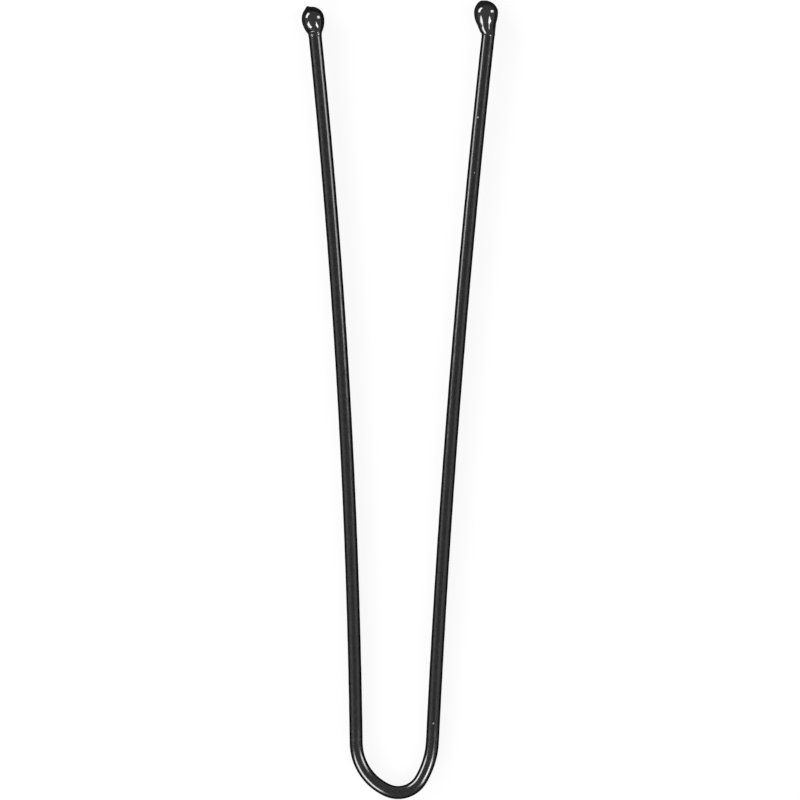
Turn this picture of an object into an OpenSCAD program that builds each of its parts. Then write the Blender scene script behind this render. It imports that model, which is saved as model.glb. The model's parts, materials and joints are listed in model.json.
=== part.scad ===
// U-shaped hair pin: one sprung steel wire, lacquered black, with a dipped drop on each end.
// It lies flat: +X to the right, +Y from the closed bow to the two tips, +Z up from the table.
// The origin is the middle of its footprint, on the table.

/* [Wire] */
// Diameter of the bare spring wire
wire_d = 0.91; // [0.8:0.01:1.1]
// Thickness of the black lacquer on the wire
lacquer_t = 0.05; // [0.02:0.01:0.08]

/* [Bow] */
// Bend radius at the closed end, on the wire's centreline
crown_r = 2.1; // [1.5:0.05:3]
// Bend radius of the left shoulder, on the wire's centreline
left_shoulder_r = 4.2; // [2.5:0.1:8]
// Angle that the left shoulder turns through, in degrees
left_shoulder_angle = 65; // [30:1:75]
// Bend radius of the right shoulder, on the wire's centreline
right_shoulder_r = 6.6; // [2.5:0.1:8]
// Angle that the right shoulder turns through, in degrees
right_shoulder_angle = 28; // [20:1:75]

/* [Legs] */
// Length of each leg, from its shoulder to the lower edge of its drop
leg_length = 56.2; // [35:0.1:75]
// Angle at which the left leg leaves the bow, away from straight ahead
left_splay = 0.8; // [0:0.1:4]
// Angle at which the right leg leaves the bow, away from straight ahead
right_splay = 2.8; // [0:0.1:4]
// Radius of the long outward curve of the left leg
left_flare_r = 640; // [400:10:2000]
// Radius of the long outward curve of the right leg
right_flare_r = 940; // [400:10:2000]

/* [Flex points] */
// Distance of the point where a leg flexes from its shoulder
flex_at = 3.5; // [1.5:0.1:8]
// Amount by which the knuckle at the flex point is larger in radius than the lacquered wire
knuckle_over = 0.1; // [0.06:0.01:0.2]
// Gap between the knuckle and its seat
knuckle_gap = 0.02; // [0.01:0.01:0.06]

/* [Left drop] */
// Diameter of the left drop at its belly
left_drop_d = 1.77; // [1.6:0.01:2.2]
// Radius of the left drop's rounded end
left_cap_r = 0.79; // [0.5:0.01:0.79]
// Radius of the left drop's flank, seen from the side
left_flank_r = 1.4; // [1.1:0.05:3]
// Radius of the hollow curve where the left drop runs out onto the wire
left_neck_r = 0.95; // [0.4:0.05:2]
// Angle at which the left drop leans outward from its leg
left_lean = 1.4; // [-5:0.1:5]

/* [Right drop] */
// Diameter of the right drop at its belly
right_drop_d = 1.87; // [1.75:0.01:2.2]
// Radius of the right drop's rounded end
right_cap_r = 0.86; // [0.5:0.01:0.87]
// Radius of the right drop's flank, seen from the side
right_flank_r = 1.35; // [1.1:0.05:3]
// Radius of the hollow curve where the right drop runs out onto the wire
right_neck_r = 2; // [0.4:0.05:2]
// Angle at which the right drop leans inward from its leg
right_lean = 13.9; // [0:0.1:14]

/* [Drop seats] */
// Thickness of the film that each drop draws up the wire below its neck
film_t = 0.04; // [0.03:0.005:0.06]
// Length of that film, from the drop's lower edge to its neck
film_run = 0.15; // [0.1:0.01:0.3]
// Length of wire that sits inside each drop, from its lower edge
seat_depth = 1.4; // [1:0.05:1.6]

/* [Hidden] */

wire_r = wire_d / 2;
coat_r = wire_r + lacquer_t;
film_r = coat_r + film_t;
neck_lip_r = coat_r + film_t / 2;
knuckle_r = coat_r + knuckle_over;
knuckle_spare = 2 * knuckle_r;
right_through = 4 * knuckle_r;
coat_end = leg_length + seat_depth;
wire_end = coat_end - lacquer_t;

// Each side is written as if it opened towards +X: the left one is turned over when it is placed,
// which is as good as mirrored, because the wire and the drops are alike above and below
LEFT = [left_shoulder_r, left_shoulder_angle, left_splay, left_flare_r];
RIGHT = [right_shoulder_r, right_shoulder_angle, right_splay, right_flare_r];
function shoulder_r(side) = side[0];
function shoulder_turn(side) = side[1];
function splay(side) = side[2];
function flare_r(side) = side[3];

// Each drop: belly radius, end radius, flank radius, neck radius and outward lean
LEFT_DROP = [left_drop_d / 2, left_cap_r, left_flank_r, left_neck_r, left_lean];
RIGHT_DROP = [right_drop_d / 2, right_cap_r, right_flank_r, right_neck_r, -right_lean];
function belly_r(drop) = drop[0];
function cap_r(drop) = drop[1];
function flank_r(drop) = drop[2];
function neck_r(drop) = drop[3];
function lean(drop) = drop[4];

// Facets of a bend: fine enough for the tight bow and for the long, nearly straight legs
bend_step = 1.5;
bend_fn_min = 96;
coarse_step = 0.01;
section_fn = 32;
drop_fn = 64;
arc_step = 6;
function bend_fn(radius) = max(bend_fn_min, ceil(2 * PI * radius / bend_step));
function direction(angle) = [cos(angle), sin(angle)];

// The bow: the crown's centre is the origin, and angles are seen from each bend's own centre
function crown_end(side) = -splay(side) - shoulder_turn(side);
function shoulder_centre(side) = (crown_r - shoulder_r(side)) * direction(crown_end(side));
function shoulder_end(side) = shoulder_centre(side) + shoulder_r(side) * direction(-splay(side));

// The legs: each curves outward about a far centre
function leg_turn(side, along) = along / flare_r(side) * 180 / PI;
function leg_centre(side) = shoulder_end(side) + flare_r(side) * direction(-splay(side));
function leg_heading(side, along) = 90 - splay(side) - leg_turn(side, along);
function leg_point(side, along) =
    leg_centre(side) + flare_r(side) * direction(leg_heading(side, along) + 90);

// The drops: heights are measured along the drop's axis, from its neck
function flank_offset(drop) = flank_r(drop) - belly_r(drop);
function cap_rise(drop) = sqrt(pow(flank_r(drop) - cap_r(drop), 2) - pow(flank_offset(drop), 2));
function neck_reach(drop) = neck_lip_r + neck_r(drop) + flank_offset(drop);
function belly_height(drop) = sqrt(pow(flank_r(drop) + neck_r(drop), 2) - pow(neck_reach(drop), 2));
function cap_height(drop) = belly_height(drop) + cap_rise(drop);
function drop_heading(side, drop) = leg_heading(side, leg_length) - lean(drop);
function neck_point(side) =
    leg_point(side, leg_length) + film_run * direction(leg_heading(side, leg_length));
function along_drop(side, drop, height) =
    neck_point(side) + height * direction(drop_heading(side, drop));

// How far each drop reaches ahead and to its outer side
function drop_top(side, drop) = along_drop(side, drop, cap_height(drop))[1] + cap_r(drop);
function drop_side(side, drop) = along_drop(side, drop, belly_height(drop))[0]
    - flank_offset(drop) * sin(drop_heading(side, drop)) + flank_r(drop);

// The pin's place: the middle of its footprint at the origin, the larger drop on the table
reach_left = drop_side(LEFT, LEFT_DROP);
reach_right = drop_side(RIGHT, RIGHT_DROP);
reach_ahead = max(drop_top(LEFT, LEFT_DROP), drop_top(RIGHT, RIGHT_DROP));
reach_back = crown_r + coat_r;
place = [(reach_left - reach_right) / 2, (reach_back - reach_ahead) / 2,
    max(belly_r(LEFT_DROP), belly_r(RIGHT_DROP))];

// Turns what opens towards +X over, so that it opens towards -X
module turned_over() {
    rotate([0, 180, 0]) children();
}

// Puts the wire's frame in its place on the table
module placed() {
    translate(place) children();
}

// Moves to a bend's centre in a coarse and a fine step, so that neighbouring bends meet
// face to face to the last digit
module at_centre(centre) {
    coarse = [for (v = centre) round(v / coarse_step) * coarse_step];
    fine = centre - coarse;
    translate([coarse[0], coarse[1], 0]) translate([fine[0], fine[1], 0]) children();
}

// Round bar bent about a centre, between two angles seen from that centre
module bend(centre, radius, from, to, bar_r) {
    at_centre(centre)
        rotate_extrude(start = from, angle = to - from, $fn = bend_fn(radius))
            translate([radius, 0]) circle(r = bar_r, $fn = section_fn);
}

// Stretch of a leg between two distances from its shoulder, bent about its far centre
module leg_stretch(side, from, to, bar_r) {
    at_centre(leg_centre(side))
        mirror([1, 0, 0])
            rotate_extrude(
                start = splay(side) + leg_turn(side, from),
                angle = leg_turn(side, to - from),
                $fn = bend_fn(flare_r(side))
            )
                translate([flare_r(side), 0]) circle(r = bar_r, $fn = section_fn);
}

// Shoulder of one side, with the root of its leg as far as the flex point
module bow_side(side, bar_r) {
    bend(shoulder_centre(side), shoulder_r(side), crown_end(side), -splay(side), bar_r);
    leg_stretch(side, 0, flex_at, bar_r);
}

// The closed end as one bar: crown, both shoulders and the roots of the legs
module bow_bar(bar_r) {
    bend([0, 0], crown_r, 180 - crown_end(LEFT), 360 + crown_end(RIGHT), bar_r);
    bow_side(RIGHT, bar_r);
    turned_over() bow_side(LEFT, bar_r);
}

// Space in which the knuckle of one leg turns
module knuckle_seat(side) {
    p = leg_point(side, flex_at);
    translate([p[0], p[1], 0])
        cylinder(r = knuckle_r + knuckle_gap, h = right_through, center = true, $fn = drop_fn);
}

// The two spaces at the ends of the bow
module knuckle_seats() {
    knuckle_seat(RIGHT);
    turned_over() knuckle_seat(LEFT);
}

// What is trimmed from the root of a leg to leave its rounded knuckle
module knuckle_trim(side) {
    p = leg_point(side, flex_at);
    translate([p[0], p[1], 0])
        rotate([0, 0, leg_heading(side, flex_at)])
            difference() {
                translate([-right_through / 2, 0, 0]) cube(right_through, center = true);
                cylinder(r = knuckle_r, h = 2 * right_through, center = true, $fn = drop_fn);
            }
}

// Places what is drawn along +Z onto a leg, where its drop begins
module at_drop(side) {
    p = leg_point(side, leg_length);
    translate([p[0], p[1], 0])
        rotate([0, 90, leg_heading(side, leg_length)])
            children();
}

// Leg from its knuckle to its end inside the drop
module leg(side, end, bar_r) {
    difference() {
        leg_stretch(side, max(flex_at - knuckle_spare, 0), end, bar_r);
        knuckle_trim(side);
    }
}

// Steel of one leg
module leg_wire(side) {
    leg(side, wire_end, wire_r);
}

// Lacquer of one leg, closed over the cut end of the wire
module leg_lacquer(side) {
    difference() {
        leg(side, coat_end, coat_r);
        leg_stretch(side, 0, wire_end, wire_r);
    }
}

function arc(centre, radius, from, to) = [
    for (i = [0 : ceil(abs(to - from) / arc_step)])
        centre + radius * direction(from + (to - from) * i / ceil(abs(to - from) / arc_step))
];

// Outline of a drop beside its axis: hollow neck, bulging flank and rounded end, each run
// meeting the next without a corner
function drop_outline(drop) =
    let (
        neck_angle = atan2(belly_height(drop), neck_reach(drop)),
        cap_angle = atan2(cap_rise(drop), flank_offset(drop)),
        neck_centre = [neck_lip_r + neck_r(drop), 0],
        flank_centre = [-flank_offset(drop), belly_height(drop)],
        cap_centre = [0, cap_height(drop)]
    )
    concat(
        [[0, 0]],
        arc(neck_centre, neck_r(drop), 180, 180 - neck_angle),
        arc(flank_centre, flank_r(drop), -neck_angle, cap_angle),
        arc(cap_centre, cap_r(drop), cap_angle, 90)
    );

// A dipped drop, leaning on its leg, with the film that runs down the wire
module drop(side, drop) {
    difference() {
        at_drop(side) {
            translate([0, 0, film_run])
                rotate([lean(drop), 0, 0])
                    rotate_extrude($fn = drop_fn) polygon(drop_outline(drop));
            cylinder(r = film_r, h = seat_depth - film_t, $fn = drop_fn);
        }
        leg_stretch(side, flex_at, coat_end, coat_r);
    }
}

module bow_wire() {
    color("silver") placed() difference() {
        bow_bar(wire_r);
        knuckle_seats();
    }
}

module bow_lacquer() {
    color("#1f1f21") placed() difference() {
        bow_bar(coat_r);
        bow_bar(wire_r);
        knuckle_seats();
    }
}

module left_leg_wire() {
    color("silver") placed() turned_over() leg_wire(LEFT);
}

module left_leg_lacquer() {
    color("#1f1f21") placed() turned_over() leg_lacquer(LEFT);
}

module left_drop() {
    color("#141416") placed() turned_over() drop(LEFT, LEFT_DROP);
}

module right_leg_wire() {
    color("silver") placed() leg_wire(RIGHT);
}

module right_leg_lacquer() {
    color("#1f1f21") placed() leg_lacquer(RIGHT);
}

module right_drop() {
    color("#141416") placed() drop(RIGHT, RIGHT_DROP);
}

bow_wire();
bow_lacquer();
left_leg_wire();
left_leg_lacquer();
left_drop();
right_leg_wire();
right_leg_lacquer();
right_drop();
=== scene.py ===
"""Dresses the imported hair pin: one sprung wire in black lacquer, with a dipped drop on each tip."""

import json
import logging
import math
from dataclasses import dataclass
from enum import Enum

import bpy
import numpy as np
from mathutils import Matrix, Vector


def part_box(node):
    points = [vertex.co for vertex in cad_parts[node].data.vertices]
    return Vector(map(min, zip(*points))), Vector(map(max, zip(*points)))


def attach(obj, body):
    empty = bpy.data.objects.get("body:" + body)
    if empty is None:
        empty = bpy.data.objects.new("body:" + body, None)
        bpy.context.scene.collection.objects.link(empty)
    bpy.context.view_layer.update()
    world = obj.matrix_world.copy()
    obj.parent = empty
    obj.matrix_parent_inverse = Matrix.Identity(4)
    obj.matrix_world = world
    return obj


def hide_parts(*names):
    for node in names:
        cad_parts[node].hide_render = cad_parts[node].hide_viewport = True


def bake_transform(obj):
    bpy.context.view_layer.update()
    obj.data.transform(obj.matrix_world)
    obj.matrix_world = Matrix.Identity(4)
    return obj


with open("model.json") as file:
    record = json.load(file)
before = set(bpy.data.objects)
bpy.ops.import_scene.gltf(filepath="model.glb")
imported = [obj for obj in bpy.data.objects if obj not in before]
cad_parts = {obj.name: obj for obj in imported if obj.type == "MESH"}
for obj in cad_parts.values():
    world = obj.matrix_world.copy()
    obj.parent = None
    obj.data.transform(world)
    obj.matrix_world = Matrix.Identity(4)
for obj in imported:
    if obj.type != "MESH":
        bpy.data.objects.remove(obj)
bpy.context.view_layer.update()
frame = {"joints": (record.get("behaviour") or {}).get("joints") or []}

LOG = logging.getLogger("hair_pin")
UP = np.array([0.0, 0.0, 1.0])
WHITE = (1.0, 1.0, 1.0, 1.0)
# A millimetre in metres.
MM = 0.001

# The two ends of a range.
Span = tuple[float, float]
RISING: Span = (0.0, 1.0)
FALLING: Span = (1.0, 0.0)

# What a node's input can be given.
Feed = bpy.types.NodeSocket | float | tuple[float, ...] | Vector

# Mesh attribute that keeps each point's place at rest.
REST = "rest_mm"
# Edges that turn by more than this many degrees are left sharp.
SHARP_ANGLE = 55.0
# Blue of every grey, as a share of its red and green.
COOL_BLUE = 1.04
# Index of refraction of the lacquer and of the resin.
CLEAR_IOR = 1.5
# Watts for each square metre of an area lamp that give it a radiance of 1.
AREA_POWER = 4.0
# Azimuth that an overhead lamp leans to when it is tipped about X.
TIPPED_TOWARDS = -90.0


class Hand(Enum):
    """The two sides of the pin, as they lie in the photograph."""

    LEFT = -1
    RIGHT = 1

    @property
    def word(self) -> str:
        """The side's name as the pieces use it."""
        return self.name.lower()

    @property
    def body(self) -> str:
        """The body that this side's leg moves with."""
        return f"{self.word}_leg"


def direction(degrees: np.ndarray | float) -> np.ndarray:
    """Flat unit vectors at these angles from +X, with X and Y in the last axis."""
    angle = np.radians(degrees)
    return np.stack([np.cos(angle), np.sin(angle)], axis=-1)


def ease(value: np.ndarray) -> np.ndarray:
    """Smooth step from 0 to 1 as the value goes from 0 to 1."""
    t = np.clip(value, 0.0, 1.0)
    return t * t * (3.0 - 2.0 * t)


def around(sides: int) -> np.ndarray:
    """Angles of the points on a ring, in radians."""
    return np.linspace(0.0, 2.0 * math.pi, sides, endpoint=False)


def wrap(outward: np.ndarray, turn: np.ndarray) -> np.ndarray:
    """Directions from each ring's centre, turned from its outward one through up."""
    return outward[:, None] * np.cos(turn)[None, :, None] + UP * np.sin(turn)[None, :, None]


def report(piece: bpy.types.Object, how: str) -> None:
    """Logs a finished piece with its faces and how it moves."""
    LOG.info("%s: %d faces, %s", piece.name, len(piece.data.polygons), how)


def put(name: str, data: bpy.types.ID) -> bpy.types.Object:
    """Puts a new object into the scene.

    Args:
        name: Its name.
        data: Its mesh, light or camera.

    Returns:
        The object.
    """
    thing = bpy.data.objects.new(name, data)
    bpy.context.scene.collection.objects.link(thing)
    return thing


def smooth_mesh(name: str, points: np.ndarray, faces: list[tuple[int, ...]]) -> bpy.types.Mesh:
    """Makes a smooth-shaded mesh.

    Args:
        name: Its name.
        points: Its points in metres, as n by three.
        faces: Its triangles and quads, as indices.

    Returns:
        The mesh.
    """
    mesh = bpy.data.meshes.new(name)
    mesh.from_pydata(points.tolist(), [], faces)
    mesh.polygons.foreach_set("use_smooth", [True] * len(mesh.polygons))
    return mesh


def fan_and_bands(count: int, sides: int) -> list[tuple[int, ...]]:
    """Faces from a pole, which is point 0, over the rings that follow it.

    Args:
        count: Number of rings.
        sides: Points on each ring.

    Returns:
        Triangles round the pole and quads between the rings.
    """
    faces = []
    for side in range(sides):
        after = (side + 1) % sides
        faces.append((0, 1 + after, 1 + side))
        for ring in range(count - 1):
            near, far = 1 + ring * sides, 1 + (ring + 1) * sides
            faces.append((near + side, near + after, far + after, far + side))
    return faces


def signed_volume(points: np.ndarray, faces: list[tuple[int, ...]]) -> float:
    """Measures a closed mesh, to tell whether its faces look inward.

    Args:
        points: The mesh's points.
        faces: Its triangles and quads, as indices.

    Returns:
        Six times the volume inside, negative where the faces look inward.
    """
    total = 0.0
    for face in faces:
        a, b, c = (points[i] for i in face[:3])
        total += float(np.dot(a, np.cross(b, c)))
        if len(face) == 4:
            total += float(np.dot(a, np.cross(c, points[face[3]])))
    return total


def skin(name: str, rings: np.ndarray, first: np.ndarray, last: np.ndarray) -> bpy.types.Object:
    """Closed mesh over a chain of rings, with a pole at each end.

    Args:
        name: Name of the new object.
        rings: Points in millimetres, as rings by sides by three.
        first: The pole before the first ring.
        last: The pole after the last ring.

    Returns:
        The object, with its points at rest kept in an attribute.
    """
    count, sides = rings.shape[:2]
    points = np.vstack([first[None], rings.reshape(-1, 3), last[None]])
    faces = fan_and_bands(count, sides)
    base = 1 + (count - 1) * sides
    faces += [(base + side, base + (side + 1) % sides, len(points) - 1) for side in range(sides)]
    mesh = smooth_mesh(name, points * MM, faces)
    rest = mesh.attributes.new(REST, "FLOAT_VECTOR", "POINT")
    rest.data.foreach_set("vector", points.astype(np.float32).ravel())
    if signed_volume(points, faces) < 0.0:
        mesh.flip_normals()
    mesh.set_sharp_from_angle(angle=math.radians(SHARP_ANGLE))
    mesh.update()
    return put(name, mesh)


def grey(level: float) -> tuple[float, float, float, float]:
    """A slightly cool grey of this linear level."""
    return (level, level, level * COOL_BLUE, 1.0)


class NodeSheet:
    """The nodes of one material, laid out from code."""

    # Places of the Mix node's colour sockets among those for other types.
    MIX_FIRST = 6
    MIX_SECOND = 7
    MIX_RESULT = 2
    # Blend of the Layer Weight node at which Facing is 1 less the cosine of the turn.
    PLAIN_FACING = 0.5

    def __init__(self, name: str) -> None:
        """Starts an empty material.

        Args:
            name: The material's name.
        """
        self.material = bpy.data.materials.new(name)
        self.material.use_nodes = True
        self.tree = self.material.node_tree
        self.tree.nodes.clear()

    def add(self, kind: str, sockets: dict[str | int, Feed] | None = None,
            **settings: str) -> bpy.types.Node:
        """Adds a node, sets its options and fills its sockets.

        Args:
            kind: The node's type.
            sockets: Values or links for its inputs, by name or index.
            settings: The node's own options.

        Returns:
            The new node.
        """
        node = self.tree.nodes.new(kind)
        for option, value in settings.items():
            setattr(node, option, value)
        for key, value in (sockets or {}).items():
            if isinstance(value, bpy.types.NodeSocket):
                self.tree.links.new(value, node.inputs[key])
            else:
                node.inputs[key].default_value = value
        return node

    def rest(self) -> bpy.types.NodeSocket:
        """Place on the piece at rest, in millimetres, so that patterns bend with it."""
        return self.add("ShaderNodeAttribute", attribute_name=REST).outputs["Vector"]

    def noise(self, where: Feed, scale: float, detail: float) -> bpy.types.NodeSocket:
        """Noise with this many waves to a unit of the coordinates, and this many octaves more."""
        node = self.add("ShaderNodeTexNoise", {"Vector": where, "Scale": scale, "Detail": detail})
        return node.outputs["Fac"]

    def remap(self, value: Feed, source: Span, target: Span = RISING) -> bpy.types.NodeSocket:
        """Carries a value from one range to another, and holds it at the ends.

        Args:
            value: What is carried over.
            source: The range it comes from.
            target: What the two ends of that range become.

        Returns:
            The new value.
        """
        node = self.add("ShaderNodeMapRange", {
            "Value": value, "From Min": source[0], "From Max": source[1],
            "To Min": target[0], "To Max": target[1],
        })
        return node.outputs["Result"]

    def combine(self, operation: str, first: Feed, second: Feed) -> bpy.types.NodeSocket:
        """One number worked out from two."""
        return self.add("ShaderNodeMath", {0: first, 1: second}, operation=operation).outputs["Value"]

    def mix(self, factor: Feed, first: Feed, second: Feed) -> bpy.types.NodeSocket:
        """Colour that goes from the first to the second as the factor goes from 0 to 1."""
        colours = {"Factor": factor, self.MIX_FIRST: first, self.MIX_SECOND: second}
        return self.add("ShaderNodeMix", colours, data_type="RGBA").outputs[self.MIX_RESULT]

    def bump(self, height: Feed, rise: float) -> bpy.types.NodeSocket:
        """Normal of a relief in which a height of 1 stands for this rise in millimetres."""
        return self.add("ShaderNodeBump", {"Height": height, "Distance": rise * MM}).outputs["Normal"]

    def rim_fade(self, rim: Span) -> bpy.types.NodeSocket:
        """Share that falls from 1 to 0 over this range of turning away from the eye, of 0 to 1."""
        facing = self.add("ShaderNodeLayerWeight", {"Blend": self.PLAIN_FACING}).outputs["Facing"]
        return self.remap(facing, rim, FALLING)

    def close(self, shader: bpy.types.NodeSocket) -> bpy.types.Material:
        """Ends the material in this shader."""
        self.add("ShaderNodeOutputMaterial", {"Surface": shader})
        return self.material

    def close_clear(self, colour: Feed, roughness: Feed, normal: Feed, gloss: Feed,
                    coat_roughness: float, rim: Span) -> bpy.types.Material:
        """Ends the material in a body under a clear skin, both losing their gloss at the rim.

        Args:
            colour: Colour of the body.
            roughness: Its roughness.
            normal: Normal of the body and of the skin.
            gloss: Share of the body's gloss that is kept face on.
            coat_roughness: Roughness of the skin.
            rim: Range of turning away over which the gloss fades.

        Returns:
            The finished material.
        """
        fade = self.rim_fade(rim)
        shader = self.add("ShaderNodeBsdfPrincipled", {
            "Base Color": colour, "Roughness": roughness, "IOR": CLEAR_IOR, "Normal": normal,
            "Specular IOR Level": self.combine("MULTIPLY", fade, gloss), "Coat Weight": fade,
            "Coat Roughness": coat_roughness, "Coat Normal": normal,
        })
        return self.close(shader.outputs["BSDF"])


@dataclass(frozen=True)
class WireSizes:
    """Sizes that both halves of the wire share, in millimetres.

    Attributes:
        steel_r: Radius of the steel.
        lacquer_t: Thickness of the lacquer. It is 0.016 more than in the CAD model, so that
            the picture's soft edges lie where the photograph has them.
        crown_r: Radius of the crown, which is the middle of the bow.
        leg_length: From the shoulder to the drop, along the wire.
        flex_at: From the shoulder to the flex point, along the wire.
        seat_depth: How far the wire goes into its drop.
    """

    steel_r: float = 0.455
    lacquer_t: float = 0.066
    crown_r: float = 2.1
    leg_length: float = 56.2
    flex_at: float = 3.5
    seat_depth: float = 1.4

    @property
    def coat_r(self) -> float:
        """Radius of the lacquered wire."""
        return self.steel_r + self.lacquer_t


@dataclass(frozen=True)
class Ripple:
    """A slow wave in the lacquer's thickness.

    Attributes:
        along: How it turns along the wire, in radians to a millimetre.
        waves: Waves round the wire, less than 0 where it winds the other way.
        start: Where it starts, in radians.
        share: Its height beside the others.
    """

    along: float
    waves: float
    start: float
    share: float = 1.0


@dataclass(frozen=True)
class HalfWire:
    """One half of the wire, from the middle of the bow to its end inside the drop.

    Bends are written as if the half opened towards +X. Lengths are in millimetres and angles
    in degrees.

    Attributes:
        hand: The side it lies on.
        shoulder_r: Radius of the shoulder bend.
        shoulder_turn: Angle that the shoulder turns through.
        splay: How far the leg leans outward where it begins.
        flare_r: Radius on which the leg then curves outward.
        sizes: What it shares with the other half.
        sides: Points on each ring.
        bow_step: Distance between the lacquer's rings in the bow.
        leg_step: The same along the leg.
        core_step: The same for the steel and the hollow that it lies in.
        seam_step: Distance of a second ring from the one at the seam.
        relief: Height of a ripple in the lacquer's thickness.
        ripples: The ripples.
    """

    hand: Hand
    shoulder_r: float
    shoulder_turn: float
    splay: float
    flare_r: float
    sizes: WireSizes = WireSizes()
    sides: int = 48
    bow_step: float = 0.08
    leg_step: float = 0.2
    core_step: float = 0.5
    seam_step: float = 0.01
    relief: float = 0.0015
    ripples: tuple[Ripple, ...] = (
        Ripple(along=1.9, waves=2.0, start=0.0),
        Ripple(along=3.1, waves=-1.0, start=1.0),
        Ripple(along=5.3, waves=3.0, start=2.0, share=0.7),
    )

    @property
    def crown_end(self) -> float:
        """Angle on the crown where it meets the shoulder."""
        return -self.splay - self.shoulder_turn

    @property
    def crown_length(self) -> float:
        """Length of the half of the crown."""
        return self.sizes.crown_r * math.radians(90.0 + self.crown_end)

    @property
    def shoulder_length(self) -> float:
        """Length of the shoulder."""
        return self.shoulder_r * math.radians(self.shoulder_turn)

    @property
    def leg_start(self) -> float:
        """Distance from the middle of the bow to where the leg begins."""
        return self.crown_length + self.shoulder_length

    @property
    def flex(self) -> float:
        """Distance from the middle of the bow to the flex point."""
        return self.leg_start + self.sizes.flex_at

    @property
    def drop_start(self) -> float:
        """Distance from the middle of the bow to where the drop begins."""
        return self.leg_start + self.sizes.leg_length

    @property
    def end(self) -> float:
        """Distance from the middle of the bow to the wire's lacquered end."""
        return self.drop_start + self.sizes.seat_depth

    def bends(self) -> list[tuple[float, np.ndarray, float, float]]:
        """The crown, the shoulder and the flared leg, seen from the crown's centre.

        Returns:
            Start, centre, radius and first angle of each bend. A negative radius curves the
            other way, outward.
        """
        crown = (0.0, np.zeros(2), self.sizes.crown_r, -90.0)
        shoulder_at = (self.sizes.crown_r - self.shoulder_r) * direction(self.crown_end)
        shoulder = (self.crown_length, shoulder_at, self.shoulder_r, self.crown_end)
        leg_at = shoulder_at + (self.shoulder_r + self.flare_r) * direction(-self.splay)
        leg = (self.leg_start, leg_at, -self.flare_r, -self.splay)
        return [crown, shoulder, leg]

    def course(self, along: np.ndarray) -> tuple[np.ndarray, np.ndarray]:
        """Places and headings along the centreline, with the crown's centre as the origin.

        Args:
            along: Distances from the middle of the bow.

        Returns:
            Flat points, and headings in degrees.
        """
        places, headings = np.zeros((len(along), 2)), np.zeros(len(along))
        for start, centre, radius, first in self.bends():
            here = along >= start
            angle = first + np.degrees((along[here] - start) / radius)
            places[here] = centre + radius * direction(angle)
            headings[here] = angle + 90.0
        return places, headings

    def lay(self, flat: np.ndarray) -> np.ndarray:
        """Flat vectors laid in the frame, on this half's side."""
        return np.column_stack([flat * np.array([self.hand.value, 1.0]), np.zeros(len(flat))])

    def crown_place(self) -> np.ndarray:
        """Finds the crown's centre in the frame from this leg's joint.

        Returns:
            The point in millimetres.
        """
        joint = next(joint for joint in frame["joints"] if joint["child"] == self.hand.body)
        flex_point = self.course(np.array([self.flex]))[0]
        return np.array(joint["pos_m"]) / MM - self.lay(flex_point)[0]

    def axes(self, along: np.ndarray) -> tuple[np.ndarray, np.ndarray, np.ndarray]:
        """Centreline with its forward and outward directions, in the frame.

        Args:
            along: Distances from the middle of the bow.

        Returns:
            Points, forward directions and outward directions, each as n by three.
        """
        flat, heading = self.course(along)
        place = self.crown_place() + self.lay(flat)
        return place, self.lay(direction(heading)), self.lay(direction(heading - 90.0))

    def ring(self, along: np.ndarray, radius: np.ndarray | float) -> np.ndarray:
        """Rings round the centreline.

        Args:
            along: Distances from the middle of the bow.
            radius: One radius, or one for each point of each ring.

        Returns:
            Points as rings by sides by three.
        """
        place, _, outward = self.axes(along)
        reach = np.broadcast_to(radius, (len(along), self.sides))
        return place[:, None] + wrap(outward, around(self.sides)) * reach[:, :, None]

    def stations(self, bow_step: float, leg_step: float, end: float) -> np.ndarray:
        """Distances at which the rings lie, close together at the seam and in the bow.

        Args:
            bow_step: Step in the bow.
            leg_step: Step along the leg.
            end: The last distance.

        Returns:
            The distances in order.
        """
        bow = np.arange(bow_step, self.leg_start, bow_step)
        leg = np.linspace(self.leg_start, end, math.ceil((end - self.leg_start) / leg_step) + 1)
        return np.concatenate([[0.0, self.seam_step], bow, leg])

    def core_stations(self) -> np.ndarray:
        """Distances of the rings on the steel, which ends where the lacquer closes over it."""
        return self.stations(self.core_step, self.core_step, self.end - self.sizes.lacquer_t)

    def unevenness(self, along: np.ndarray) -> np.ndarray:
        """Slow unevenness of the lacquer's thickness, fading out at the seam.

        Args:
            along: Distances from the middle of the bow.

        Returns:
            Height over the plain radius, as rings by sides.
        """
        turn = around(self.sides)[None]
        far = along[:, None]
        waves = sum(
            ripple.share * np.sin(ripple.along * far + ripple.waves * turn + ripple.start)
            for ripple in self.ripples
        )
        return self.relief * waves * ease(far / self.leg_start)

    def lacquer(self) -> bpy.types.Object:
        """Models the lacquer on this half, hollow for the steel.

        Returns:
            The new piece.
        """
        bore = self.core_stations()
        outer = self.stations(self.bow_step, self.leg_step, self.end)
        inside = self.ring(bore[::-1], self.sizes.steel_r)
        outside = self.ring(outer, self.sizes.coat_r + self.unevenness(outer))
        poles = self.axes(np.array([bore[-1], outer[-1]]))[0]
        rings = np.concatenate([inside, outside])
        return skin(f"{self.hand.word}_half_lacquer", rings, poles[0], poles[1])

    def steel(self) -> bpy.types.Object:
        """Models the steel of this half.

        Returns:
            The new piece.
        """
        along = self.core_stations()
        poles = self.axes(np.array([along[0], along[-1]]))[0]
        rings = self.ring(along, self.sizes.steel_r)
        return skin(f"{self.hand.word}_half_steel", rings, poles[0], poles[1])

    def spring(self, piece: bpy.types.Object) -> None:
        """Bakes the piece's place into its mesh; it does not bend the piece.

        Args:
            piece: A piece that runs from the bow into the leg.
        """
        seam, flex = self.axes(np.array([0.0, self.flex]))[0]
        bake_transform(piece)

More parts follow.
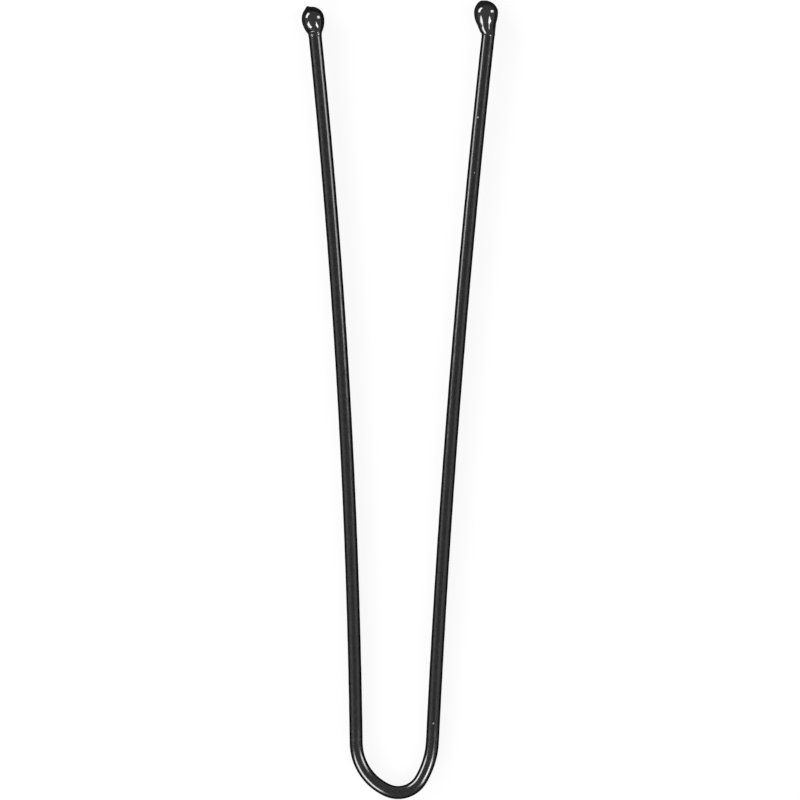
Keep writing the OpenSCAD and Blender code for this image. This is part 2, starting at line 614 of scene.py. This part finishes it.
    def build(self, lacquer: bpy.types.Material, steel: bpy.types.Material) -> None:
        """Makes and dresses both pieces of this half.

        Args:
            lacquer: Finish of the coat.
            steel: Finish of the core.
        """
        leg = self.hand.body
        for piece, finish, slot, nodes in (
            (self.lacquer(), lacquer, LacquerFinish.slot, ("bow_lacquer", f"{leg}_lacquer")),
            (self.steel(), steel, SteelFinish.slot, ("bow_wire", f"{leg}_wire")),
        ):
            piece.data.materials.append(finish)
            self.spring(piece)
            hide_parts(*nodes)
            report(piece, f"bends from bow to {leg}")


@dataclass(frozen=True)
class Nick:
    """A small pale speck in the lacquer's colour on one leg.

    Attributes:
        half: The half that it is in.
        along: Distance along the leg from where the leg begins, in millimetres.
        turn: Angle round the wire, from outward over the top, in degrees.
        radius: Its radius in millimetres.
    """

    half: HalfWire
    along: float
    turn: float
    radius: float

    def place(self) -> Vector:
        """Finds its middle on the lacquer.

        Returns:
            The point at rest, in millimetres.
        """
        centre, _, outward = self.half.axes(np.array([self.half.leg_start + self.along]))
        out = wrap(outward, np.radians([self.turn]))[0, 0]
        return Vector(centre[0] + self.half.sizes.coat_r * out)


@dataclass(frozen=True)
class LacquerFinish:
    """Baked black lacquer: fine grained along the legs, smooth where the bow was buffed.

    Attributes:
        slot: Name of the finish in the part's record.
        dark: Grey of its darkest mottling.
        pale: Grey of its palest mottling.
        leg_roughness: Roughness along the legs.
        bow_roughness: Roughness of the bow.
        leg_gloss: Share of gloss along the legs.
        bow_gloss: Share of gloss of the bow.
        coat_roughness: Roughness of its clear skin.
        rim: Range of turning away over which the gloss fades.
        grain_begins: Y in millimetres where the smooth bow ends and where the full grain begins.
        grain_per_mm: Waves of the grain to a millimetre.
        grain_detail: Finer octaves in the grain.
        grain_rise: Height of the grain in millimetres.
        bow_grain: Share of the grain that is left on the bow.
        mottle_per_mm: Waves of the mottling to a millimetre.
        mottle_detail: Finer octaves in the mottling.
        mottle_band: Levels of the mottling that show as dark and as pale.
        drift_band: Levels of the mottling where the roughness stops changing.
        drift: What the mottling adds to the roughness at those levels.
        nick_grey: Grey of a pale speck.
        nick_core: Share of a speck's radius that shows fully.
    """

    slot: str = "black_lacquer"
    dark: float = 0.001
    pale: float = 0.007
    leg_roughness: float = 0.42
    bow_roughness: float = 0.2
    leg_gloss: float = 0.26
    bow_gloss: float = 0.8
    coat_roughness: float = 0.16
    rim: Span = (0.17, 0.33)
    grain_begins: Span = (-27.4, -26.0)
    grain_per_mm: float = 6.0
    grain_detail: float = 4.0
    grain_rise: float = 0.003
    bow_grain: float = 0.15
    mottle_per_mm: float = 4.5
    mottle_detail: float = 3.0
    mottle_band: Span = (0.35, 0.65)
    drift_band: Span = (0.3, 0.7)
    drift: Span = (-0.04, 0.06)
    nick_grey: float = 0.36
    nick_core: float = 0.5

    def material(self, specks: tuple[Nick, ...]) -> bpy.types.Material:
        """Lays out the lacquer with its small pale specks.

        Args:
            specks: The pale specks that show in it.

        Returns:
            The finished material.
        """
        sheet = NodeSheet(self.slot)
        rest = sheet.rest()
        split = sheet.add("ShaderNodeSeparateXYZ", {"Vector": rest})
        grained = sheet.remap(split.outputs["Y"], self.grain_begins)
        mottle = sheet.noise(rest, self.mottle_per_mm, self.mottle_detail)
        grain = sheet.noise(rest, self.grain_per_mm, self.grain_detail)
        colour = sheet.mix(sheet.remap(mottle, self.mottle_band), grey(self.dark), grey(self.pale))
        # Small round patches of paler grey laid into the lacquer's colour.
        for speck in specks:
            apart = sheet.add("ShaderNodeVectorMath", {0: rest, 1: speck.place()}, operation="DISTANCE")
            edge = (speck.radius * self.nick_core, speck.radius)
            inside = sheet.remap(apart.outputs["Value"], edge, FALLING)
            colour = sheet.mix(inside, colour, grey(self.nick_grey))
        rough = sheet.remap(grained, RISING, (self.bow_roughness, self.leg_roughness))
        rough = sheet.combine("ADD", rough, sheet.remap(mottle, self.drift_band, self.drift))
        gloss = sheet.remap(grained, RISING, (self.bow_gloss, self.leg_gloss))
        height = sheet.combine("MULTIPLY", grain, sheet.remap(grained, RISING, (self.bow_grain, 1.0)))
        normal = sheet.bump(height, self.grain_rise)
        return sheet.close_clear(colour, rough, normal, gloss, self.coat_roughness, self.rim)


@dataclass(frozen=True)
class ResinFinish:
    """Glossy black resin of the dipped drops, with slow runs and fine dust in it.

    Attributes:
        slot: Name of the finish in the part's record.
        dark: Grey of its darkest runs.
        pale: Grey of its palest runs.
        roughness: Roughness between the dust and on it.
        gloss: Share of gloss under its clear skin.
        coat_roughness: Roughness of the skin.
        rim: Range of turning away over which the gloss fades.
        run_per_mm: Waves of the runs to a millimetre.
        run_detail: Finer octaves in the runs.
        run_band: Levels of the runs that show as dark and as pale.
        dust_per_mm: Waves of the dust to a millimetre.
        dust_detail: Finer octaves in the dust.
        dust_band: Levels of the dust that are smooth and that are rough.
        dust_rise: Height of the dust in millimetres.
    """

    slot: str = "drop_resin"
    dark: float = 0.007
    pale: float = 0.013
    roughness: Span = (0.07, 0.15)
    gloss: float = 0.85
    coat_roughness: float = 0.05
    rim: Span = (0.18, 0.32)
    run_per_mm: float = 1.1
    run_detail: float = 2.0
    run_band: Span = (0.35, 0.65)
    dust_per_mm: float = 9.0
    dust_detail: float = 3.0
    dust_band: Span = (0.3, 0.75)
    dust_rise: float = 0.0004

    def material(self) -> bpy.types.Material:
        """Lays out the resin.

        Returns:
            The finished material.
        """
        sheet = NodeSheet(self.slot)
        rest = sheet.rest()
        runs = sheet.noise(rest, self.run_per_mm, self.run_detail)
        dust = sheet.noise(rest, self.dust_per_mm, self.dust_detail)
        colour = sheet.mix(sheet.remap(runs, self.run_band), grey(self.dark), grey(self.pale))
        rough = sheet.remap(dust, self.dust_band, self.roughness)
        normal = sheet.bump(dust, self.dust_rise)
        return sheet.close_clear(colour, rough, normal, self.gloss, self.coat_roughness, self.rim)


@dataclass(frozen=True)
class SteelFinish:
    """Drawn spring steel inside the lacquer, with the die's fine lines along it.

    Attributes:
        slot: Name of the finish in the part's record.
        dark: Grey between the lines.
        pale: Grey on the lines.
        roughness: Roughness between the lines and on them.
        line_per_mm: Waves of the lines across the wire, to a millimetre.
        line_stretch: How much slower the lines change along the legs.
        line_detail: Finer octaves in the lines.
        line_band: Levels of the lines where the roughness stops changing.
        line_rise: Height of the lines in millimetres.
    """

    slot: str = "spring_steel"
    dark: float = 0.5
    pale: float = 0.66
    roughness: Span = (0.24, 0.39)
    line_per_mm: float = 16.0
    line_stretch: float = 0.06
    line_detail: float = 3.0
    line_band: Span = (0.3, 0.7)
    line_rise: float = 0.002

    def material(self) -> bpy.types.Material:
        """Lays out the steel.

        Returns:
            The finished material.
        """
        sheet = NodeSheet(self.slot)
        stretch = Vector((1.0, self.line_stretch, 1.0))
        drawn = sheet.add("ShaderNodeVectorMath", {0: sheet.rest(), 1: stretch}, operation="MULTIPLY")
        lines = sheet.noise(drawn.outputs["Vector"], self.line_per_mm, self.line_detail)
        shader = sheet.add("ShaderNodeBsdfPrincipled", {
            "Base Color": sheet.mix(lines, grey(self.dark), grey(self.pale)), "Metallic": 1.0,
            "Roughness": sheet.remap(lines, self.line_band, self.roughness),
            "Normal": sheet.bump(lines, self.line_rise),
        })
        return sheet.close(shader.outputs["BSDF"])


@dataclass(frozen=True)
class PaperFinish:
    """White studio paper, which shows as white to the camera and in what it is mirrored in.

    Attributes:
        name: Name of the material.
        white_share: Share of plain white in what the camera and mirrors see.
        albedo: Grey of the paper under that.
        fibre_contrast: How far its fibres depart from that grey.
        fibre_per_metre: Waves of the fibres to a metre.
        fibre_detail: Finer octaves in the fibres.
    """

    name: str = "studio_paper"
    white_share: float = 0.88
    albedo: float = 0.92
    fibre_contrast: float = 0.01
    fibre_per_metre: float = 900.0
    fibre_detail: float = 3.0

    def material(self) -> bpy.types.Material:
        """Lays out the paper.

        Returns:
            The finished material.
        """
        sheet = NodeSheet(self.name)
        where = sheet.add("ShaderNodeTexCoord").outputs["Object"]
        fibre = sheet.noise(where, self.fibre_per_metre, self.fibre_detail)
        dark = grey(self.albedo - self.fibre_contrast)
        pale = grey(self.albedo + self.fibre_contrast)
        paper = sheet.add("ShaderNodeBsdfDiffuse", {"Color": sheet.mix(fibre, dark, pale)})
        white = sheet.add("ShaderNodeEmission", {"Color": WHITE, "Strength": 1.0})
        ray = sheet.add("ShaderNodeLightPath").outputs
        seen = sheet.combine("MAXIMUM", ray["Is Camera Ray"], ray["Is Glossy Ray"])
        seen = sheet.combine("MAXIMUM", seen, ray["Is Transmission Ray"])
        share = sheet.combine("MULTIPLY", seen, self.white_share)
        mixed = sheet.add("ShaderNodeMixShader", {
            0: share, 1: paper.outputs["BSDF"], 2: white.outputs["Emission"],
        })
        return sheet.close(mixed.outputs["Shader"])


@dataclass(frozen=True)
class Swell:
    """A soft rise or flat on a drop.

    Attributes:
        up: Its place, as a share of the way up the drop's outline.
        facing: The way it faces round the axis, with 0 outward, 90 up and 180 inward.
        rise: Its height in millimetres, less than 0 for a flat.
        length: How far it reaches up and down, as a share of the outline.
        breadth: How far it reaches round the axis, in degrees.
        point: 2 for a round swell, and less for a pointed one.
    """

    up: float
    facing: float
    rise: float
    length: float
    breadth: float
    point: float = 2.0

    def height(self, share: np.ndarray, turn: np.ndarray) -> np.ndarray:
        """Rise over the plain drop.

        Args:
            share: Shares of the way up, one for each ring.
            turn: Angles round the axis, in radians.

        Returns:
            Heights in millimetres, as rings by sides.
        """
        off = np.abs(share - self.up) / self.length
        round_off = (np.degrees(turn) - self.facing + 180.0) % 360.0 - 180.0
        return self.rise * np.exp(-off[:, None] ** self.point - (round_off[None] / self.breadth) ** 2)


@dataclass(frozen=True)
class Drop:
    """A dipped drop of resin on the end of one leg, in millimetres and degrees.

    Attributes:
        half: The half of the wire that it sits on.
        belly_r: Radius of the drop at its widest.
        cap_r: Radius of its rounded end.
        flank_r: Radius on which its flank bulges.
        neck_r: Radius of the hollow above the wire.
        lean: How far it leans outward from the wire's heading.
        swells: Its soft rises and flats.
        film_t: Thickness of the film of resin where it meets the neck.
        film_run: How far the film takes to rise to that.
        sunk: How far the bore and the film's edge lie under the lacquer's face.
        cover_t: Least thickness of resin over the wire.
        cover_blend: How softly that least thickness takes over.
        settle: Height over which the drop turns from the wire's heading to its own.
        neck_share: Share of the outline over which the swells begin.
        pole_share: Share of the outline over which they level out at the end.
        sides: Points on each ring.
        bore_rings: Rings in the bore.
        film_rings: Rings on the film, with its two edges.
        arc_step: Angle between the rings on each arc of the outline.
    """

    half: HalfWire
    belly_r: float
    cap_r: float
    flank_r: float
    neck_r: float
    lean: float
    swells: tuple[Swell, ...]
    film_t: float = 0.02
    film_run: float = 0.15
    sunk: float = 0.004
    cover_t: float = 0.004
    cover_blend: float = 0.005
    settle: float = 0.35
    neck_share: float = 0.05
    pole_share: float = 0.05
    sides: int = 96
    bore_rings: int = 6
    film_rings: int = 8
    arc_step: float = 2.0

    @property
    def neck(self) -> float:
        """Distance from the middle of the bow to where the film turns into the neck."""
        return self.half.drop_start + self.film_run

    def arc(self, centre: tuple[float, float], radius: float, start: float, stop: float) -> np.ndarray:
        """Points on an arc of the outline, as distance from the axis and height.

        Args:
            centre: The arc's centre.
            radius: Its radius.
            start: Its first angle.
            stop: Its last angle.

        Returns:
            The points with their outward normals, as n by four.
        """
        count = max(2, math.ceil(abs(stop - start) / self.arc_step) + 1)
        ray = direction(np.linspace(start, stop, count))
        outward = ray if stop > start else -ray
        return np.hstack([np.array(centre) + radius * ray, outward])

    def outline(self) -> np.ndarray:
        """Hollow neck, bulging flank and rounded end, each meeting the next without a corner.

        Returns:
            The points with their outward normals, as n by four.
        """
        lip = self.half.sizes.coat_r + self.film_t
        offset = self.flank_r - self.belly_r
        reach = lip + self.neck_r + offset
        belly_up = math.sqrt((self.flank_r + self.neck_r) ** 2 - reach**2)
        cap_rise = math.sqrt((self.flank_r - self.cap_r) ** 2 - offset**2)
        neck_turn = math.degrees(math.atan2(belly_up, reach))
        cap_turn = math.degrees(math.atan2(cap_rise, offset))
        neck = self.arc((lip + self.neck_r, 0.0), self.neck_r, 180.0, 180.0 - neck_turn)
        flank = self.arc((-offset, belly_up), self.flank_r, -neck_turn, cap_turn)
        cap = self.arc((0.0, belly_up + cap_rise), self.cap_r, cap_turn, 90.0)
        return np.vstack([neck[:-1], flank[:-1], cap])

    def relief(self, shape: np.ndarray, turn: np.ndarray) -> np.ndarray:
        """Height of all the swells, beginning at the neck and level round the pole.

        Args:
            shape: The outline's points.
            turn: Angles round the axis, in radians.

        Returns:
            Heights in millimetres, as rings by sides.
        """
        share = np.concatenate([[0.0], np.cumsum(np.hypot(*np.diff(shape[:, :2], axis=0).T))])
        share /= share[-1]
        height = sum(swell.height(share, turn) for swell in self.swells)
        height = height * np.minimum(1.0, share / self.neck_share)[:, None]
        level = height.mean(axis=1, keepdims=True)
        return level + (height - level) * ease((1.0 - share) / self.pole_share)[:, None]

    def covered(self, points: np.ndarray) -> np.ndarray:
        """Keeps a film of resin over the wire where the drop hangs off it.

        Args:
            points: Points on the drop.

        Returns:
            The points, moved out of the wire where they were in it.
        """
        half, sizes = self.half, self.half.sizes
        place, forward, _ = half.axes(np.array([half.drop_start]))
        along = np.clip((points - place[0]) @ forward[0], 0.0, sizes.seat_depth)
        foot = place[0] + along[..., None] * forward[0]
        gap = np.linalg.norm(points - foot, axis=-1, keepdims=True)
        least = sizes.coat_r + self.cover_t
        kept = least + self.cover_blend * np.logaddexp(0.0, (gap - least) / self.cover_blend)
        return foot + (points - foot) * kept / gap

    def sleeve(self, turn: np.ndarray) -> tuple[np.ndarray, np.ndarray]:
        """The bore that the wire sits in, and the film outside it up to the neck.

        Args:
            turn: Angles round the wire, in radians.

        Returns:
            The pole at the bore's bottom, and the rings from there to the neck.
        """
        bore = np.linspace(self.half.end, self.half.drop_start, self.bore_rings)
        film = np.linspace(self.half.drop_start, self.neck, self.film_rings)[1:-1]
        risen = ease((film - self.half.drop_start) / self.film_run)
        over = np.concatenate([np.zeros(len(bore)), risen * (self.film_t + self.sunk)])
        place, _, outward = self.half.axes(np.concatenate([bore, film]))
        reach = self.half.sizes.coat_r - self.sunk + over
        return place[0], place[:, None] + wrap(outward, turn) * reach[:, None, None]

    def bead(self, turn: np.ndarray) -> np.ndarray:
        """The drop itself, leaning off the wire.

        Args:
            turn: Angles round the axis, in radians.

        Returns:
            Rings from the neck to the end, as rings by sides by three.
        """
        half, shape = self.half, self.outline()
        out, up, normal_out, normal_up = shape.T[:, :, None, None]
        neck = np.array([self.neck])
        heading = half.course(neck)[1]
        axis = half.lay(direction(heading - self.lean))
        tilt = heading - self.lean * ease(shape[:, 1] / self.settle)
        spread = wrap(half.lay(direction(tilt - 90.0)), turn)
        normal = normal_out * spread + normal_up * half.lay(direction(tilt))[:, None]
        plain = half.axes(neck)[0] + up * axis + out * spread
        return self.covered(plain + self.relief(shape, turn)[:, :, None] * normal)

    def mesh(self) -> bpy.types.Object:
        """Models the drop, hollow where the wire sits in it.

        Returns:
            The new piece.
        """
        turn = around(self.sides)
        bottom, sleeve = self.sleeve(turn)
        bead = self.bead(turn)
        rings = np.concatenate([sleeve, bead[:-1]])
        return skin(f"{self.half.hand.word}_dipped_drop", rings, bottom, bead[-1].mean(axis=0))

    def build(self, resin: bpy.types.Material) -> None:
        """Makes and dresses the drop.

        Args:
            resin: Its finish.
        """
        piece = self.mesh()
        piece.data.materials.append(resin)
        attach(piece, self.half.hand.body)
        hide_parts(f"{self.half.hand.word}_drop")
        report(piece, f"rides on {self.half.hand.body}")


@dataclass(frozen=True)
class Softbox:
    """A rectangular soft light aimed at the pin, with its place and size as angles seen from it.

    Attributes:
        name: Its name.
        azimuth: Angle of its middle round the pin, from +X.
        azimuth_span: How much of that angle it fills.
        zenith: Angle of its middle from straight above.
        radiance: How bright its face is.
        zenith_span: How much of the angle from straight above it fills.
        away: Its distance in metres.
    """

    name: str
    azimuth: float
    azimuth_span: float
    zenith: float
    radiance: float
    zenith_span: float = 26.0
    away: float = 0.6

    def build(self) -> None:
        """Makes the light: lifted over the pin, tipped down to its zenith angle, then turned."""
        data = bpy.data.lights.new(self.name, "AREA")
        data.shape = "RECTANGLE"
        lean = math.radians(self.zenith)
        data.size = 2.0 * self.away * math.sin(lean) * math.tan(math.radians(self.azimuth_span / 2.0))
        data.size_y = 2.0 * self.away * math.tan(math.radians(self.zenith_span / 2.0))
        data.energy = self.radiance * data.size * data.size_y * AREA_POWER
        lamp = put(self.name, data)
        turn = Matrix.Rotation(math.radians(self.azimuth - TIPPED_TOWARDS), 4, "Z")
        tip = Matrix.Rotation(lean, 4, "X")
        lamp.matrix_world = turn @ tip @ Matrix.Translation((0.0, 0.0, self.away))
        lamp.visible_camera = False


@dataclass(frozen=True)
class Studio:
    """Paper cove, softboxes and camera of a plain table-top studio. Lengths are in metres.

    Attributes:
        boxes: The soft lights.
        world_grey: Grey of the room round them.
        paper_gap: How far the paper lies under the pin.
        cove_r: Radius of the paper.
        cove_bend: Radius on which its edge turns up.
        cove_top: Height of that edge.
        cove_sides: Points on each ring of the paper.
        floor_rings: Radii of the rings on its flat middle.
        bend_rings: Rings on its bend.
        view_width: Width of what the camera sees at the wire.
        view_centre: Point of the frame in the middle of the picture.
        lens_mm: Focal length in millimetres.
        sensor_mm: Width of the sensor in millimetres.
        clip: Nearest and farthest distance that the camera sees.
    """

    boxes: tuple[Softbox, ...]
    world_grey: float = 0.23
    paper_gap: float = 0.00001
    cove_r: float = 2.4
    cove_bend: float = 0.3
    cove_top: float = 0.35
    cove_sides: int = 96
    floor_rings: tuple[float, ...] = (0.1, 0.6)
    bend_rings: int = 12
    view_width: float = 0.063603
    view_centre: tuple[float, float] = (0.0000276, -0.0000167)
    lens_mm: float = 200.0
    sensor_mm: float = 36.0
    clip: Span = (0.01, 20.0)

    def resting_plane(self) -> Matrix:
        """Finds the table, which touches the undersides of both drops and of the bow.

        Returns:
            Its place and turn in the frame.
        """
        feet = []
        for drop in ("left_drop", "right_drop"):
            low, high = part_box(drop)
            feet.append(Vector(((low.x + high.x) / 2, (low.y + high.y) / 2, low.z)))
        low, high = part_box("bow_lacquer")
        feet.append(Vector(((low.x + high.x) / 2, low.y + (high.z - low.z) / 2, low.z)))
        normal = (feet[1] - feet[0]).cross(feet[0] - feet[2]).normalized()
        normal = normal if normal.z > 0 else -normal
        middle = Vector((0.0, 0.0, feet[0].dot(normal) / normal.z - self.paper_gap))
        turn = Vector((0.0, 0.0, 1.0)).rotation_difference(normal).to_matrix().to_4x4()
        return Matrix.Translation(middle) @ turn

    def cove(self) -> None:
        """Makes the paper floor, which turns up into a low wall all round."""
        bend = np.radians(np.linspace(0.0, 90.0, self.bend_rings + 1)[1:])
        inner = self.cove_r - self.cove_bend
        floor = [*self.floor_rings, inner]
        lift = self.cove_bend * (1.0 - np.cos(bend))
        reach = np.concatenate([floor, inner + self.cove_bend * np.sin(bend), [self.cove_r]])
        rise = np.concatenate([np.zeros(len(floor)), lift, [self.cove_top]])
        turn = around(self.cove_sides)
        ray = np.column_stack([np.cos(turn), np.sin(turn)])
        rings = [np.column_stack([out * ray, np.full(len(ray), up)]) for out, up in zip(reach, rise)]
        points = np.vstack([np.zeros((1, 3)), *rings])
        mesh = smooth_mesh("paper_cove", points, fan_and_bands(len(rings), self.cove_sides))
        mesh.flip_normals()
        mesh.materials.append(PaperFinish().material())
        cove = put("paper_cove", mesh)
        cove.matrix_world = self.resting_plane()

    def camera(self, wire_z: float) -> None:
        """Camera straight above the pin, which frames it as the photograph does.

        Args:
            wire_z: Height of the wire's centreline, in metres.
        """
        data = bpy.data.cameras.new("camera")
        data.lens = self.lens_mm
        data.sensor_width = self.sensor_mm
        data.clip_start, data.clip_end = self.clip
        data.dof.use_dof = False
        camera = put("camera", data)
        away = self.view_width * self.lens_mm / self.sensor_mm
        camera.location = (*self.view_centre, wire_z + away)
        bpy.context.scene.camera = camera

    def build(self, wire_z: float) -> None:
        """Makes the whole studio.

        Args:
            wire_z: Height of the wire's centreline, in metres.
        """
        world = bpy.data.worlds.new("studio")
        world.use_nodes = True
        backdrop = world.node_tree.nodes["Background"]
        backdrop.inputs["Color"].default_value = grey(self.world_grey)
        backdrop.inputs["Strength"].default_value = 1.0
        bpy.context.scene.world = world
        bpy.context.scene.view_settings.view_transform = "Standard"
        self.cove()
        for box in self.boxes:
            box.build()
        self.camera(wire_z)


LEFT_HALF = HalfWire(Hand.LEFT, shoulder_r=4.2, shoulder_turn=65.0, splay=0.8, flare_r=640.0)
RIGHT_HALF = HalfWire(Hand.RIGHT, shoulder_r=6.6, shoulder_turn=28.0, splay=2.8, flare_r=940.0)

PALE_SPECKS = (
    Nick(RIGHT_HALF, along=49.7, turn=106.0, radius=0.08),
    Nick(RIGHT_HALF, along=45.3, turn=87.0, radius=0.05),
    Nick(RIGHT_HALF, along=1.45, turn=90.0, radius=0.075),
)

LEFT_DROP = Drop(
    LEFT_HALF, belly_r=0.889, cap_r=0.812, flank_r=1.72, neck_r=0.44, lean=2.2,
    swells=(
        Swell(up=0.9, facing=-2.0, rise=0.102, length=0.07, breadth=41.0, point=1.3),
        Swell(up=0.97, facing=-54.0, rise=-0.06, length=0.06, breadth=86.0),
        Swell(up=0.85, facing=106.0, rise=-0.073, length=0.21, breadth=117.0),
        Swell(up=0.04, facing=64.0, rise=-0.128, length=0.14, breadth=38.0),
        Swell(up=0.21, facing=11.0, rise=-0.04, length=0.21, breadth=38.0),
        Swell(up=0.9, facing=44.0, rise=0.051, length=0.07, breadth=78.0),
        Swell(up=0.86, facing=114.0, rise=-0.09, length=0.22, breadth=43.0),
        Swell(up=0.59, facing=106.0, rise=0.115, length=0.19, breadth=76.0),
    ),
)
RIGHT_DROP = Drop(
    RIGHT_HALF, belly_r=0.874, cap_r=0.854, flank_r=1.79, neck_r=2.59, lean=-14.6,
    swells=(
        Swell(up=0.57, facing=2.0, rise=0.174, length=0.27, breadth=68.0, point=1.3),
        Swell(up=0.18, facing=138.0, rise=0.091, length=0.14, breadth=73.0),
        Swell(up=0.79, facing=116.0, rise=-0.075, length=0.15, breadth=53.0),
        Swell(up=0.4, facing=226.0, rise=0.043, length=0.15, breadth=50.0),
        Swell(up=0.97, facing=185.0, rise=0.081, length=0.16, breadth=88.0),
        Swell(up=0.82, facing=-28.0, rise=-0.026, length=0.14, breadth=95.0),
        Swell(up=0.62, facing=105.0, rise=0.055, length=0.15, breadth=49.0),
        Swell(up=0.23, facing=3.0, rise=0.019, length=0.15, breadth=68.0),
    ),
)

STUDIO = Studio(
    boxes=(
        Softbox("right_far_softbox", azimuth=15.1, azimuth_span=19.8, zenith=61.5, radiance=5.7),
        Softbox("left_far_softbox", azimuth=148.0, azimuth_span=50.0, zenith=69.0, radiance=7.2,
                zenith_span=23.0),
        Softbox("left_near_softbox", azimuth=223.5, azimuth_span=43.0, zenith=61.0, radiance=6.4),
        Softbox("right_near_softbox", azimuth=-33.5, azimuth_span=18.0, zenith=48.5, radiance=7.8),
    ),
)


def main() -> None:
    """Builds the pin's halves and drops, and then the studio round them."""
    logging.basicConfig(level=logging.INFO, format="%(name)s: %(message)s")
    lacquer = LacquerFinish().material(PALE_SPECKS)
    steel = SteelFinish().material()
    resin = ResinFinish().material()
    for half in (LEFT_HALF, RIGHT_HALF):
        half.build(lacquer, steel)
    for drop in (LEFT_DROP, RIGHT_DROP):
        drop.build(resin)
    STUDIO.build(float(RIGHT_HALF.crown_place()[2]) * MM)


if __name__ == "__main__":
    main()
